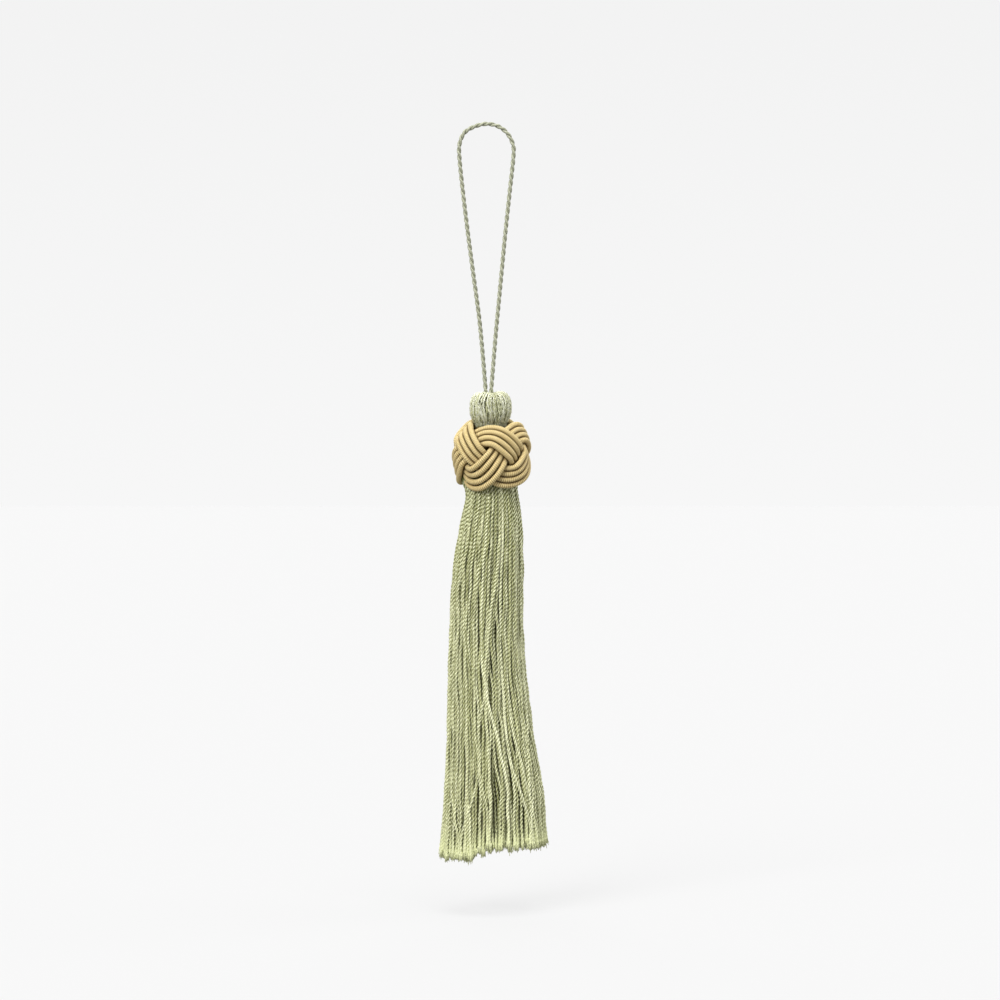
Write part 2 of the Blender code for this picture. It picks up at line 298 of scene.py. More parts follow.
def knot_line():
    """The cord's middle, in degrees round the knot: the swing up and down is reach (cos w - flat
    cos 3w) with w = angle * bights / leads, moved square to itself by its lane's distance. It is then
    laid on the barrel, lifted along the normal, tilted backwards and let droop on one side. Off the
    calm middle its top is pressed down and in, and its foot spread, with the left lobe drawn up."""
    degrees = np.arange(KNOT_START, KNOT_START + 360 * LEADS * PASSES - KNOT_END_GAP, 4)
    turn = np.radians(degrees)
    wave, reach = turn * BIGHTS / LEADS, KNOT_REACH / (1 - KNOT_FLAT)
    middle = reach * (np.cos(wave) - KNOT_FLAT * np.cos(3 * wave))
    slope = -reach * BIGHTS / LEADS * (np.sin(wave) - 3 * KNOT_FLAT * np.sin(3 * wave))
    along, radius, height, out, rise = knot_barrel()
    girth = np.interp(middle, along, radius)
    size = np.hypot(girth, slope)
    passes = (degrees - KNOT_START + KNOT_END_GAP / 2) / (360 * LEADS)
    change = (passes - np.round(passes)) * 360 * LEADS / LANE_CHANGE
    lane = np.round(passes) + smooth_step(change + 0.5) - 0.5
    across = (lane - PASSES / 2) * KNOT_PITCH
    turn = turn + KNOT_FACING - across * slope / size / girth
    middle = middle + across * girth / size
    leg = degrees % (180 * LEADS / BIGHTS)
    risen, crossed, back = (smooth_step((leg - start) / taken) for start, taken in LEG_CHANGES)
    over = risen - 2 * crossed + back
    reach_out = np.interp(middle, along, radius) + KNOT_LIFT * over * np.interp(middle, along, out)
    z = np.interp(middle, along, height) + KNOT_LIFT * over * np.interp(middle, along, rise)
    x, y = reach_out * np.sin(turn), -reach_out * np.cos(turn)
    z = z + KNOT_TILT * y + KNOT_DROOP * x * smooth_step(-z / KNOT_HEIGHT)
    low, high = (smooth_step((level - KNOT_CALM) / KNOT_FADE) for level in (-z, z))
    lobe = smooth_step((-x - 3.0) / 5.0) * (1.0 + smooth_step(y / 4.0))
    z = z + KNOT_LOBE_UP * lobe * low - KNOT_SINK * high
    x = x * (1.0 + KNOT_SPREAD * low - KNOT_NARROW * high) + KNOT_SHIFT_TOP * high + KNOT_SHIFT_FOOT * low
    return KNOT_MIDDLE + np.column_stack([x, y, z])


# %% [markdown]
# ## Drawing the knot up
#
# A knot that is only laid on a barrel has turns that pass through each other where a band bends. On
# the real one the hands pull the slack out and the turns push each other aside. The same is done
# here: wherever two turns are nearer than a cord's width both are moved apart, bends are eased a
# little, and every point is held weakly to its place.


# %% The knot drawn up
SETTLED_CORD, SETTLE_STEP, SETTLE_ROUNDS = 1.88, 0.9, 120
SETTLE_PUSH, SETTLE_EASE, SETTLE_HOLD = 0.42, 0.15, 0.02
SAME_TURN, SEARCH_MARGIN, SEARCH_EVERY = 3.5, 0.8, 10


def drawn_up(points):
    """Points moved until turns that touch are a cord apart: each of a pair by push (cord - distance).
    Pairs less than the same turn's length apart along the cord are left alone."""
    home, apart = points.copy(), int(SAME_TURN / SETTLE_STEP)
    for settled in range(SETTLE_ROUNDS):
        if settled % SEARCH_EVERY == 0:
            one, two = np.triu_indices(len(points), apart)
            near = np.linalg.norm(points[one] - points[two], axis=1) < SETTLED_CORD + SEARCH_MARGIN
            one, two = one[near], two[near]
        line = points[one] - points[two]
        length = np.linalg.norm(line, axis=1)
        touch = length < SETTLED_CORD
        push = line * (np.clip(SETTLED_CORD - length, 0.0, None) * SETTLE_PUSH / length)[:, None]
        touches = np.bincount(one, touch, len(points)) + np.bincount(two, touch, len(points))
        move = np.zeros_like(points)
        np.add.at(move, one, push)
        np.add.at(move, two, -push)
        points = points + move / np.maximum(touches, 1.0)[:, None]
        points[1:-1] += SETTLE_EASE * ((points[:-2] + points[2:]) / 2 - points[1:-1])
        points += SETTLE_HOLD * (home - points)
    return points


knot_raw = knot_line()
raw_length = line_length(knot_raw)[-1]
knot_stops = np.linspace(0.0, raw_length, round(raw_length / SETTLE_STEP) + 1)
knot_points = drawn_up(at_lengths(knot_raw, knot_stops))
knot_length = line_length(knot_points)[-1]
print("knot cord", round(knot_length), "mm in", len(knot_points), "points")

# %% [markdown]
# ## The wrapped cord
#
# Gimp is a soft core with fine thread wound round it, turn beside turn, and each turn of the thread
# shows as a ridge. A ridge pattern in the material would vanish at the outline, so the wrapping is
# the surface itself: a band wound along the cord, a high line and a low line, each next turn joined
# to the last.

# %% The band wound along the cord
GIMP_RADIUS, GIMP_RIDGE = 0.90, 0.14
WRAP, WRAP_SIDES, WRAP_START = 0.62, 12, 0.3
GIMP_END, GIMP_TIP, GIMP_SWELL = 1.2, 0.55, 0.45
OWN_TURN, CROWDED, CROWD_FADE, CROWD_PARTS = 3.2, 1.05, 0.62, 24
wraps = int(knot_length / WRAP) - 2
turn_number = np.arange(wraps * WRAP_SIDES + 1)
gimp_angle = -turn_number * math.tau / WRAP_SIDES
high_at = WRAP_START + turn_number * WRAP / WRAP_SIDES
low_at = high_at + WRAP / 2
knot_fine = smooth_line(knot_points, len(knot_points) * 4)
knot_out = (knot_fine - KNOT_MIDDLE) * (1.0, 1.0, 0.55)
fine_side, fine_up = frames(knot_fine, knot_out)


def on_gimp(lengths, radius, angle):
    """Points at those lengths along the cord, that far from its middle and at that angle round it.
    Towards its two ends the cord narrows to the tip's share of its radius."""
    along = line_length(knot_fine)
    middle, side, up = (
        np.column_stack([np.interp(lengths, along, axis) for axis in table.T])
        for table in (knot_fine, fine_side, fine_up)
    )
    end = smooth_step(np.minimum(lengths, knot_length - lengths) / GIMP_END)[:, None]
    return middle + radius * (GIMP_TIP + GIMP_SWELL * end) * (
        np.cos(angle)[:, None] * unit(side) + np.sin(angle)[:, None] * unit(up)
    )


def crowding(points, own, line, step):
    """How deep each point lies between turns of the cord, from the distance to the nearest middle of
    another turn: 1 up to 1.05 mm, falling to 0 at 1.67 mm."""
    deepness = np.empty(len(points))
    stops = np.arange(len(line)) * step
    for part in np.array_split(np.arange(len(points)), CROWD_PARTS):
        away = np.linalg.norm(points[part, None] - line[None], axis=-1)
        away[np.abs(own[part, None] - stops) < OWN_TURN] = np.inf
        deepness[part] = 1.0 - smooth_step((away.min(1) - CROWDED) / CROWD_FADE)
    return deepness


edge = len(turn_number)
gimp_points = np.concatenate([
    on_gimp(high_at, GIMP_RADIUS + GIMP_RIDGE / 2, gimp_angle),
    on_gimp(low_at, GIMP_RADIUS - GIMP_RIDGE / 2, gimp_angle),
])

# %% The knot's mesh
band = np.arange(edge - 1)
back = band[: edge - 1 - WRAP_SIDES]
ridge = np.stack([band, band + edge, band + 1 + edge, band + 1], -1)
valley = np.stack([back + edge, back + WRAP_SIDES, back + 1 + WRAP_SIDES, back + 1 + edge], -1)
start_cap = np.concatenate([np.arange(WRAP_SIDES + 1), [edge]])[None, :]
end_cap = np.concatenate([np.arange(2 * edge - 1 - WRAP_SIDES, 2 * edge), [edge - 1]])[None, ::-1]
around = np.stack([band, band, band + 1, band + 1], -1) / WRAP_SIDES
ridge_place = np.stack([around, around + np.array([0.0, 0.5, 0.5, 0.0])], -1)
around = np.stack([back, back + WRAP_SIDES, back + 1 + WRAP_SIDES, back + 1], -1) / WRAP_SIDES
valley_place = np.stack([around, around + np.array([0.5, 0.0, 0.0, 0.5])], -1)
caps = np.zeros((start_cap.size + end_cap.size, 2))
gimp_place = np.concatenate([ridge_place.reshape(-1, 2), valley_place.reshape(-1, 2), caps])
gimp_height = np.concatenate([np.ones(edge), np.zeros(edge)])


def gimp_sheet(places, rows=48):
    """The sheet for painting: the cord cut into that many lengths laid side by side, each as wide as
    the cord is round. A face keeps to the length and to the side of the seam where it starts."""
    along = places[..., 1]
    turn = places[..., 0] - np.floor(places[..., 0].min(-1, keepdims=True) + 1e-6)
    share = along * rows / (wraps + 2)
    row = np.clip(np.floor(share.min(-1, keepdims=True)), 0, rows - 1)
    return np.stack([(row + 0.04 + 0.80 * turn) / rows, 0.01 + 0.96 * (share - row)], -1).reshape(-1, 2)


sheet_caps = np.full((start_cap.size + end_cap.size, 2), (0.998, 0.998))
gimp_bake = np.concatenate([gimp_sheet(ridge_place), gimp_sheet(valley_place), sheet_caps])
gimp_along = np.concatenate([high_at, low_at])
# Painted shade: how crowded a point is becomes the mask for the gimp's brown painted shade between turns of
# the cord.
gimp_turns_shade = crowding(gimp_points, gimp_along, knot_points, knot_length / (len(knot_points) - 1))
gimp_knot = new_piece(
    "gimp_knot", gimp_points, [ridge, valley, start_cap, end_cap],
    {"thread": gimp_place, "OFBake": gimp_bake},
    {"height": gimp_height, "crevice_shade": gimp_turns_shade},
)
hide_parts("woven_knot")

# %% [markdown]
# ## How the skirt hangs
#
# Three hundred and thirty yarns leave the neck as a packed round bundle and fall to a wide foot. Copies
# of one straight yarn would look like a broom. Here the bundle is followed downwards level by level,
# as a set of discs in a plane: the outline widens, yarns drift outwards and gather into locks, and
# any two that come nearer than their thickness push each other apart. Joined from level to level,
# the discs' middles are the paths of the yarns.

# %% The skirt's outline
YARN, PACKED_YARNS = 1.02, 330
SKIRT_TOP, SKIRT_FREE, SKIRT_BOTTOM = -114.0, -118.0, -240.0
SKIRT_OUTLINE = np.array([
    # z, half width, x of the middle, depth as a share of the width
    (-114.0, 9.6, 0.4, 0.92), (-117.6, 9.6, 0.4, 0.92), (-119.4, 8.9, 0.8, 0.97),
    (-121.8, 8.75, 1.25, 1.0), (-126.7, 9.6, 1.1, 0.97),
    (-130.0, 10.3, 0.85, 0.95), (-136.6, 11.1, 0.55, 0.93), (-146.5, 11.9, -0.2, 0.91),
    (-156.4, 12.3, -0.55, 0.9), (-169.6, 12.25, -0.75, 0.9), (-182.8, 12.75, -0.45, 0.88),
    (-196.0, 13.6, 0.2, 0.87), (-209.2, 14.8, 1.1, 0.86), (-222.4, 16.3, 1.7, 0.86),
    (-229.0, 16.7, 1.75, 0.86), (-235.6, 17.2, 1.65, 0.86), (-244.0, 17.6, 1.6, 0.86),
])
LEVELS = 44
level_z = np.linspace(SKIRT_TOP, SKIRT_BOTTOM, LEVELS)
outline = np.column_stack([
    np.interp(-level_z, -SKIRT_OUTLINE[:, 0], SKIRT_OUTLINE[:, column]) for column in (1, 2, 3)
])
half, middle_x, depth = outline.T
print("skirt outline at", LEVELS, "levels, widest", round(half.max() * 2, 1), "mm")

# %% The yarns' places at the neck
random = np.random.default_rng(11)


def packed_disc(count):
    """Points spread evenly over the unit disc, as (distance from its middle, angle): the distance is
    the root of the point's share of the count, and the golden angle lies between one and the next."""
    number = np.arange(count) + 0.5
    angle = number * math.pi * (3.0 - math.sqrt(5.0))
    return np.sqrt(number / count), angle


root_share, root_angle = packed_disc(PACKED_YARNS)
root_angle = root_angle + random.normal(0.0, 0.03, len(root_angle))
stray = random.normal(0.0, np.where(random.uniform(size=len(root_angle)) < 0.18, 0.17, 0.04))
print(len(root_share), "yarns in the skirt")


# %% Falling from level to level
# Of each set of locks: its seed, the least and most waves round the skirt, and its strength in mm.
LOCKS = ((3, (7, 15), 0.17), (5, (16, 27), 0.13))
LOCKS_OVER, STRAY_OVER, SPREAD_OVER, SPREAD_BY = 60.0, 120.0, 110.0, 0.58
HELD_FROM, HELD_OVER, HELD_BY = -210.0, 25.0, 0.65
FOLLOWED, DISC_SHARE, PUSH_ROUNDS, PUSH_SHARE = 0.10, 0.93, 10, 0.32


def locks(angle, z, seed, waves, strength):
    """How far yarns stray round the skirt at a height, in millimetres: a sum of waves round it whose
    phases drift with the height, so that locks form, part and join again on the way down."""
    maker = np.random.default_rng(seed)
    number = maker.integers(*waves, 6)[:, None]
    drift, phase = maker.uniform(-0.22, 0.22, (6, 1)), maker.uniform(0.0, math.tau, (6, 1))
    return strength * np.sin(number * angle + drift * z + phase).sum(0)


def pushed_apart(places, gap, rounds):
    """Discs of that width moved apart where they overlap, each by a third of the overlap."""
    for _ in range(rounds):
        away = places[:, None] - places[None, :]
        distance = np.hypot(away[..., 0], away[..., 1]) + 10.0 * np.eye(len(places))
        share = PUSH_SHARE * np.clip(gap - distance, 0.0, None) / distance
        places = places + (away * share[..., None]).sum(1)
    return places


def fallen(share, angle):
    """The yarns' paths, (yarns, levels, 3): each level starts from the last one's places, moved as
    the outline moves there, then pushed apart and kept inside the outline."""
    paths, places, before = [], None, None
    for number, z in enumerate(level_z):
        drop = smooth_step((SKIRT_FREE - z) / LOCKS_OVER)
        spread = share ** (1.0 - SPREAD_BY * smooth_step((SKIRT_FREE - z) / SPREAD_OVER))
        reach = half[number] - YARN / 2
        held = 1.0 - HELD_BY * smooth_step((HELD_FROM - z) / HELD_OVER)
        strayed = sum(locks(angle, z, *lock) for lock in LOCKS)
        turn = angle + drop * held * strayed / reach
        turn = turn + stray * drop * (SKIRT_FREE - z) / STRAY_OVER
        size = np.array([reach, reach * depth[number]])
        wanted = size * spread[:, None] * np.column_stack([np.cos(turn), np.sin(turn)])
        places = wanted if before is None else places + wanted - before + FOLLOWED * (wanted - places)
        before = wanted
        places = pushed_apart(places, YARN * DISC_SHARE, PUSH_ROUNDS)
        out = np.linalg.norm(places / size, axis=1, keepdims=True)
        places = places / np.maximum(out, 1.0)
        level = np.full(len(places), z)
        paths.append(np.column_stack([places[:, 0] + middle_x[number], places[:, 1], level]))
    return np.stack(paths, 1)


yarn_paths = fallen(root_share, root_angle)
print("yarn paths", yarn_paths.shape)

# %% Yarns that cross over the others
CROSSING = 38
CROSS_SUNK, CROSS_RISE, CROSS_OVER = 0.25, 0.65, 14.0
crossing_angle = (np.arange(CROSSING) + random.uniform(-0.4, 0.4, CROSSING))[:, None] * math.tau / CROSSING
leaves = random.uniform(-212.0, -122.0, (CROSSING, 1))
sweep = random.choice((-1.0, 1.0), (CROSSING, 1)) * random.uniform(0.15, 0.50, (CROSSING, 1))
swung = crossing_angle + sweep * smooth_step((leaves - level_z) / random.uniform(24.0, 65.0, (CROSSING, 1)))
proud = half - YARN / 2 - CROSS_SUNK + CROSS_RISE * smooth_step((leaves - level_z) / CROSS_OVER)
crossed = np.stack([
    middle_x + proud * np.cos(swung), depth * proud * np.sin(swung), level_z + 0.0 * swung,
], -1)
yarn_paths = np.concatenate([yarn_paths, crossed])
print(CROSSING, "yarns cross over the others")

# %% [markdown]
# ## Cutting the foot and letting yarns wander
#
# A tassel is trimmed with scissors after it is made. This one's cut slopes down to the left, and the
# ends are not quite even. Each yarn also keeps small bends from its bobbin.

# %% Bends and lengths
END_SLANT, END_Z, END_RAGGED, END_DROP = 0.02, -236.9, 0.45, 3.2
BEND, BEND_OVER = 0.085, 25.0
yarns = len(yarn_paths)
wave_length = random.uniform(9.0, 26.0, (yarns, 3, 2))
wave_phase = random.uniform(0.0, math.tau, (yarns, 3, 2))
hanging = SKIRT_TOP - level_z
waves = hanging[None, None, :, None] * math.tau / wave_length[:, :, None] + wave_phase[:, :, None]
bend = np.sin(waves).sum(1)
free = smooth_step(hanging / BEND_OVER)[None, :, None]
yarn_paths[..., :2] += BEND * bend * free

foot_x = yarn_paths[:, -1, 0] - middle_x[-1]
foot_z = END_Z + END_SLANT * foot_x + random.normal(0.0, END_RAGGED, yarns)
foot_z -= END_DROP * smooth_step((-3.0 - foot_x) / 4.5)
foot_z += np.where(random.uniform(size=yarns) < 0.16, random.uniform(-1.3, 1.2, yarns), 0.0)
stretch = (foot_z - SKIRT_TOP) / (level_z[-1] - SKIRT_TOP)
yarn_paths[..., 2] = SKIRT_TOP + (yarn_paths[..., 2] - SKIRT_TOP) * stretch[:, None]
print("feet from", round(foot_z.min(), 1), "to", round(foot_z.max(), 1), "mm")

# %% [markdown]
# ## Two plies in one section
#
# A two-ply yarn's section is a figure of eight that turns as it runs along. One closed outline with
# a waist does for both plies, so a yarn costs half of what two tubes would. Yarns near the outside
# get the full figure, those behind them a plainer one, and the ones inside are plain rounds, since
# only their ends show.

# %% Sections of yarn
YARN_TURN, YARN_WIDTH, YARN_LOOSEN = 2.75, 1.06, 0.18
YARN_FACING = np.array([0.9, -0.44, 0.0])
OPEN_FROM, OPEN_OVER, OPEN_RADIUS, OPEN_SHARE = 0.955, 0.04, 0.92, 0.7
TIP_FROM, TIP_OVER, TIP_LESS = 0.987, 0.013, 0.6
# Each section's radii, angles and painted shade, one to a corner: the shade is full in the waist
# between the plies, and all round on the plain inner rounds.
EIGHT = (
    np.array([0.98, 0.98, 0.67, 0.98, 0.98, 0.67]),
    np.radians([-24.0, 24.0, 90.0, 156.0, 204.0, 270.0]),
    np.array([0.0, 0.0, 1.0, 0.0, 0.0, 1.0]),
)
PLAIN = (
    np.array([1.0, 0.58, 1.0, 0.58]), np.radians([0.0, 90.0, 180.0, 270.0]),
    np.array([0.0, 1.0, 0.0, 1.0]),
)
ROUND = np.full(4, 0.86), np.radians([45.0, 135.0, 225.0, 315.0]), np.ones(4)


def yarn_grid(paths, stops, section, turn, thickness, loosen=0.0):
    """The skins of yarns on those paths: the section turned by length / turn as it runs. With a
    loosen share above 0 it widens by it and becomes rounder at the foot, and the tip is narrower."""
    radii, angles = section[:2]
    line = smooth_line(paths, stops)
    start = np.random.default_rng(len(paths)).uniform(0.0, math.tau, (len(paths), 1))
    share = np.linspace(0.0, 1.0, stops)
    length = line_length(line)[:, -1:]
    own_turn = turn * np.random.default_rng(len(paths) + 1).uniform(0.88, 1.14, (len(paths), 1))
    twist = start + length * share * math.tau / own_turn
    end = smooth_step((share - OPEN_FROM) / OPEN_OVER)[:, None] * (loosen > 0.0)
    tip = TIP_LESS * smooth_step((share - TIP_FROM) / TIP_OVER)[:, None] * (loosen > 0.0)
    width = thickness / 2 * (1.0 + loosen * end) * (1.0 - tip)
    radii = radii + (OPEN_RADIUS - radii) * OPEN_SHARE * end
    return skin(line, YARN_FACING, width * radii, angles + twist[..., None]), float(length.mean())


SHUT_IN, SHUT_HALF, SHUT_FOOT = 1.65, 0.72, 0.68
SHADE_FROM, SHADE_OVER = -115.8, 3.6


def shut_off(grid, painted_shade, added_shade):
    """The painted shade of yarns with those skins: each corner's groove value plus shade added all
    over, times 1.65 where the yarns are packed in shade under the knot, 0.93 halfway down and 0.25
    at the loose foot. Inside the knot all of a yarn gets painted shade as dark as a groove."""
    share = np.linspace(0.0, 1.0, grid.shape[1])
    fade = SHUT_IN - SHUT_HALF * smooth_step(share / 0.5) - SHUT_FOOT * smooth_step((share - 0.93) / 0.06)
    in_knot = 1.0 - smooth_step((SHADE_FROM - grid[..., 2]) / SHADE_OVER)
    return (painted_shade + added_shade) * fade[:, None] + in_knot


# %% Which yarns lie outside
OUTER_YARNS, SECOND_YARNS = 112, 78
LOWER = slice(LEVELS // 2, LEVELS)
from_middle = yarn_paths[:, LOWER, :2] - np.stack([middle_x, 0.0 * middle_x], -1)[LOWER]
room = half[LOWER, None] * np.stack([np.ones(LEVELS), depth], -1)[LOWER]
outside = np.linalg.norm(from_middle / room, axis=-1).max(1)
order = np.argsort(-outside)
outer, second, inner = np.split(order, (OUTER_YARNS, OUTER_YARNS + SECOND_YARNS))
print("outer", len(outer), "second", len(second), "inner", len(inner))

# %% The skirt's yarns
OUTER_STOPS, SECOND_STOPS, INNER_STOPS = 350, 280, 20
INNER_TURN, INNER_LOOSEN = 200.0, 0.2
tone = random.uniform(0.0, 1.0, yarns)
# Painted light: the yarns that cross over the others stand proud, so they are given lighter tones, as if
# lit more.
tone[-CROSSING:] = random.uniform(0.5, 1.1, CROSSING)
compass = np.arctan2(yarn_paths[:, -1, 1], yarn_paths[:, -1, 0] - middle_x[-1]) / math.pi
skirt = []


def add_yarns(label, chosen, stops, section, turn, thickness, loosen, added_shade):
    """The chosen yarns as one piece of the skirt."""
    grid, length = yarn_grid(yarn_paths[chosen], stops, section, turn, thickness, loosen)
    painted_shade = shut_off(grid, section[2], added_shade)
    skirt.append(tubes(f"skirt_yarns_{label}", grid, length, tone[chosen], painted_shade))


# The last number is painted shade added all over: none on the outer yarns, 0.2 on those behind them, and
# 0.2 less than full on the inner rounds.
for label, start in (("front", -0.75), ("right", -0.25), ("back", 0.25), ("left", 0.75)):
    chosen = outer[((compass[outer] - start) % 2.0) < 0.5]
    add_yarns(label, chosen, OUTER_STOPS, EIGHT, YARN_TURN, YARN_WIDTH, YARN_LOOSEN, 0.0)
for label, chosen in (("behind_1", second[::2]), ("behind_2", second[1::2])):
    add_yarns(label, chosen, SECOND_STOPS, PLAIN, YARN_TURN, YARN_WIDTH, YARN_LOOSEN, 0.2)
add_yarns("inside", inner, INNER_STOPS, ROUND, INNER_TURN, YARN, INNER_LOOSEN, -0.2)

# %% [markdown]
# ## Frayed ends
#
# Where the scissors went through, the twist opens, the yarn thins out and its filaments stand apart
# like a small brush. They are thin and three-sided, four to a yarn inside the skirt, eight behind the
# outer row and sixteen in it, where they hide the yarns' own ends.

# %% Filaments at the foot
FILAMENTS, FRAY_STOPS, FRAY_ROOT, FRAY_LENGTH = 4, 4, 2.2, 3.0
bearer = np.concatenate([np.tile(outer, 3), second, np.arange(yarns)])
yarn_end = yarn_paths[bearer, -1]
down = unit(yarn_end - yarn_paths[bearer, -3])
splay = random.uniform(-0.42, 0.42, (len(bearer), FILAMENTS, 3)) * (1.0, 1.0, 0.0)
past_end = np.minimum(random.exponential(0.26, (len(bearer), FILAMENTS, 1)), 1.4)
from_yarn = random.uniform(-0.55, 0.55, (len(bearer), FILAMENTS, 3)) * (1.0, 1.0, 0.0)
part = np.linspace(0.0, 1.0, FRAY_STOPS)[:, None]
root = (yarn_end - FRAY_ROOT * down)[:, None] + from_yarn
fallen_by = (FRAY_ROOT + past_end[..., None, :]) * part * down[:, None, None]
filament = (root[:, :, None] + fallen_by + splay[:, :, None] * part**2).reshape(-1, FRAY_STOPS, 3)
thin = np.linspace(0.14, 0.10, FRAY_STOPS)[:, None] * np.ones(3)
fray_grid = skin(filament, YARN_FACING, thin, np.arange(3) * math.tau / 3)
fray_tone = np.repeat(tone[bearer], FILAMENTS)
skirt.append(tubes("skirt_frayed_ends", fray_grid, FRAY_LENGTH, fray_tone, np.zeros(3), start=0.96))

# %% [markdown]
# ## The head
#
# The same yarn, doubled over the loop, makes the head. Each yarn comes up beside the cord in the
# middle of the crown, rolls over the shoulder and runs down into the neck. A turned solid with
# grooves would be simpler, but its grooves never cross or overlap as these do. All the yarns share
# one profile, swung round the axis, with two soft lobes and a crease between them.

# %% The head's profile
HEAD_ROWS = 70
HEAD_PROFILE = np.array([
    # distance from the axis, z, x of the axis
    (1.65, -90.2, 0.1), (1.85, -89.1, 0.1), (2.5, -88.25, 0.25), (3.5, -88.05, 0.45), (4.5, -88.25, 0.6),
    (5.45, -88.95, 0.7), (6.15, -90.0, 0.7), (6.55, -91.4, 0.7), (6.65, -92.9, 0.7), (6.6, -94.6, 0.7),
    (6.2, -96.1, 0.7), (5.6, -97.3, 0.7), (4.9, -98.5, 0.7), (4.7, -99.9, 0.75), (5.1, -101.7, 0.8),
    (5.9, -104.2, 0.9), (7.0, -107.2, 1.0), (7.5, -111.0, 1.05), (7.5, -117.0, 1.0),
])
# Of each crease between the head's bundles: its angle, its depth in mm and its width in radians.
CREASES = np.array([
    (-1.31, 0.30, 0.22), (-2.5, 0.12, 0.16), (-0.45, 0.10, 0.14), (0.6, 0.2, 0.2), (1.8, 0.25, 0.2),
])


def away_from(turn, angle):
    return (turn - angle + math.pi) % math.tau - math.pi


def head_paths(count, first_row, lift, slant, seed):
    """Paths from the profile swung to even angles: (distance cos angle, distance sin angle, z). A
    bell curve of the angle presses in each crease and the dimple in front of the loop, the crown is
    a little higher on the right, and yarns lean and sway."""
    maker = np.random.default_rng(seed)
    angle = (np.arange(count) + maker.uniform(-0.3, 0.3, count)) * math.tau / count
    rows = smooth_line(HEAD_PROFILE[first_row:], HEAD_ROWS)
    share = np.linspace(0.0, 1.0, HEAD_ROWS)
    lean = slant + maker.normal(0.0, 0.15, (count, 1))
    lift = lift + maker.normal(0.0, 0.06, (count, 1))
    sway = lean * share + 0.07 * np.sin(share * maker.uniform(6.0, 16.0, (count, 1)) + angle[:, None] * 3)
    turn = angle[:, None] + sway
    pressed = CREASES[:, 1] * np.exp(-((away_from(turn[..., None], CREASES[:, 0]) / CREASES[:, 2]) ** 2))
    side = smooth_step((-88.0 - rows[:, 1]) / 2.5) * smooth_step((rows[:, 1] + 100.0) / 3.0)
    crown = np.exp(-(((rows[:, 0] - 3.4) / 1.9) ** 2)) * (rows[:, 1] > -93.0)
    dimple = np.exp(-((away_from(turn, -1.35) / 0.5) ** 2))
    distance = rows[:, 0] + lift - pressed.sum(-1) * side
    x, y = rows[:, 2] + distance * np.cos(turn), distance * np.sin(turn)
    return np.stack([x, y, rows[:, 1] + lift + crown * (0.20 * np.cos(turn) - 0.55 * dimple)], -1)


# %% The head's yarns
HEAD_YARN, HEAD_TURN, HEAD_STOPS = 0.64, 4.4, 72
# Of each set: yarns, first row of the profile, how far it is lifted, its slant and its seed.
head_sets = ((60, 0, 0.0, 0.08, 21), (50, 2, -0.10, -0.06, 22), (44, 3, 0.10, 0.14, 23))
head = []
for number, (count, first_row, lift, slant, seed) in enumerate(head_sets):
    paths = head_paths(count, first_row, lift, slant, seed)
    grid, length = yarn_grid(paths, HEAD_STOPS, PLAIN, HEAD_TURN, HEAD_YARN)
    # Painted shade: where the head's yarns run down into the knot they get up to 2.2 more, which also
    # brings in the head's painted brown shade.
    knot_shade = PLAIN[2] + 2.2 * smooth_step((-97.8 - grid[..., 2]) / 3.2)
    head.append(tubes(f"head_yarns_{number + 1}", grid, length, random.uniform(0.0, 1.0, count), knot_shade))

# %% The core under the head's yarns
CORE_ROWS, CORE_SIDES, CORE_INSET, CORE_LENGTH = 40, 48, 0.55, 25.0
core_rows = smooth_line(HEAD_PROFILE, CORE_ROWS) - (CORE_INSET, 0.0, 0.0)
core_rows[:, 1] -= 0.5 * (core_rows[:, 0] < 5.0) * (core_rows[:, 1] > -95.0)
core_angle = np.arange(CORE_SIDES) * math.tau / CORE_SIDES
core = np.stack([
    core_rows[:, None, 2] + core_rows[:, None, 0] * np.cos(core_angle),
    core_rows[:, None, 0] * np.sin(core_angle),
    np.broadcast_to(core_rows[:, None, 1], (CORE_ROWS, CORE_SIDES)),
], -1)
# Painted shade: the core gets nine tenths of a groove's shade all over and a low tone, since it shows only
# in the shade between the yarns.
painted_shade = np.full(CORE_SIDES, 0.9)
head.append(tubes("head_core", core[None, ::-1], CORE_LENGTH, np.array([0.2]), painted_shade))
for piece in skirt + head:
    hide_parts("head_and_skirt")

# %% [markdown]
# ## Fibres and shades
#
# Yarn and gimp are both spun from fine filaments that catch the light in streaks. One node group
# makes the streaks from the layout that follows the thread: the angle round it becomes a circle, so
# the pattern has no seam, and the distance along it is stretched. A second group mixes the shades:
# a base colour, a light one on the raised filaments that is partly their own paler tone and partly
# painted sheen, a deep one for darker fibres and for painted shade in the grooves and other shaded
# places, and a little more or less of each from yarn to yarn.


# %% Node helpers
def new_group(name, inputs, outputs):
    """A shader node group with those inputs (name, kind, value) and outputs (name, kind), and the
    sockets at its two ends."""
    group = bpy.data.node_groups.new(name, "ShaderNodeTree")
    for label, kind, value in inputs:
        socket = group.interface.new_socket(label, in_out="INPUT", socket_type="NodeSocket" + kind)
        if value is not None:
            socket.default_value = value
    for label, kind in outputs:
        group.interface.new_socket(label, in_out="OUTPUT", socket_type="NodeSocket" + kind)
    given, result = group.nodes.new("NodeGroupInput"), group.nodes.new("NodeGroupOutput")
    return group, given.outputs, result.inputs


def feed(tree, node, links):
    """Links are (an input of the node, a value or a socket for it)."""
    for entry, source in links:
        if isinstance(source, bpy.types.NodeSocket):
            tree.links.new(source, node.inputs[entry])
        else:
            node.inputs[entry].default_value = source


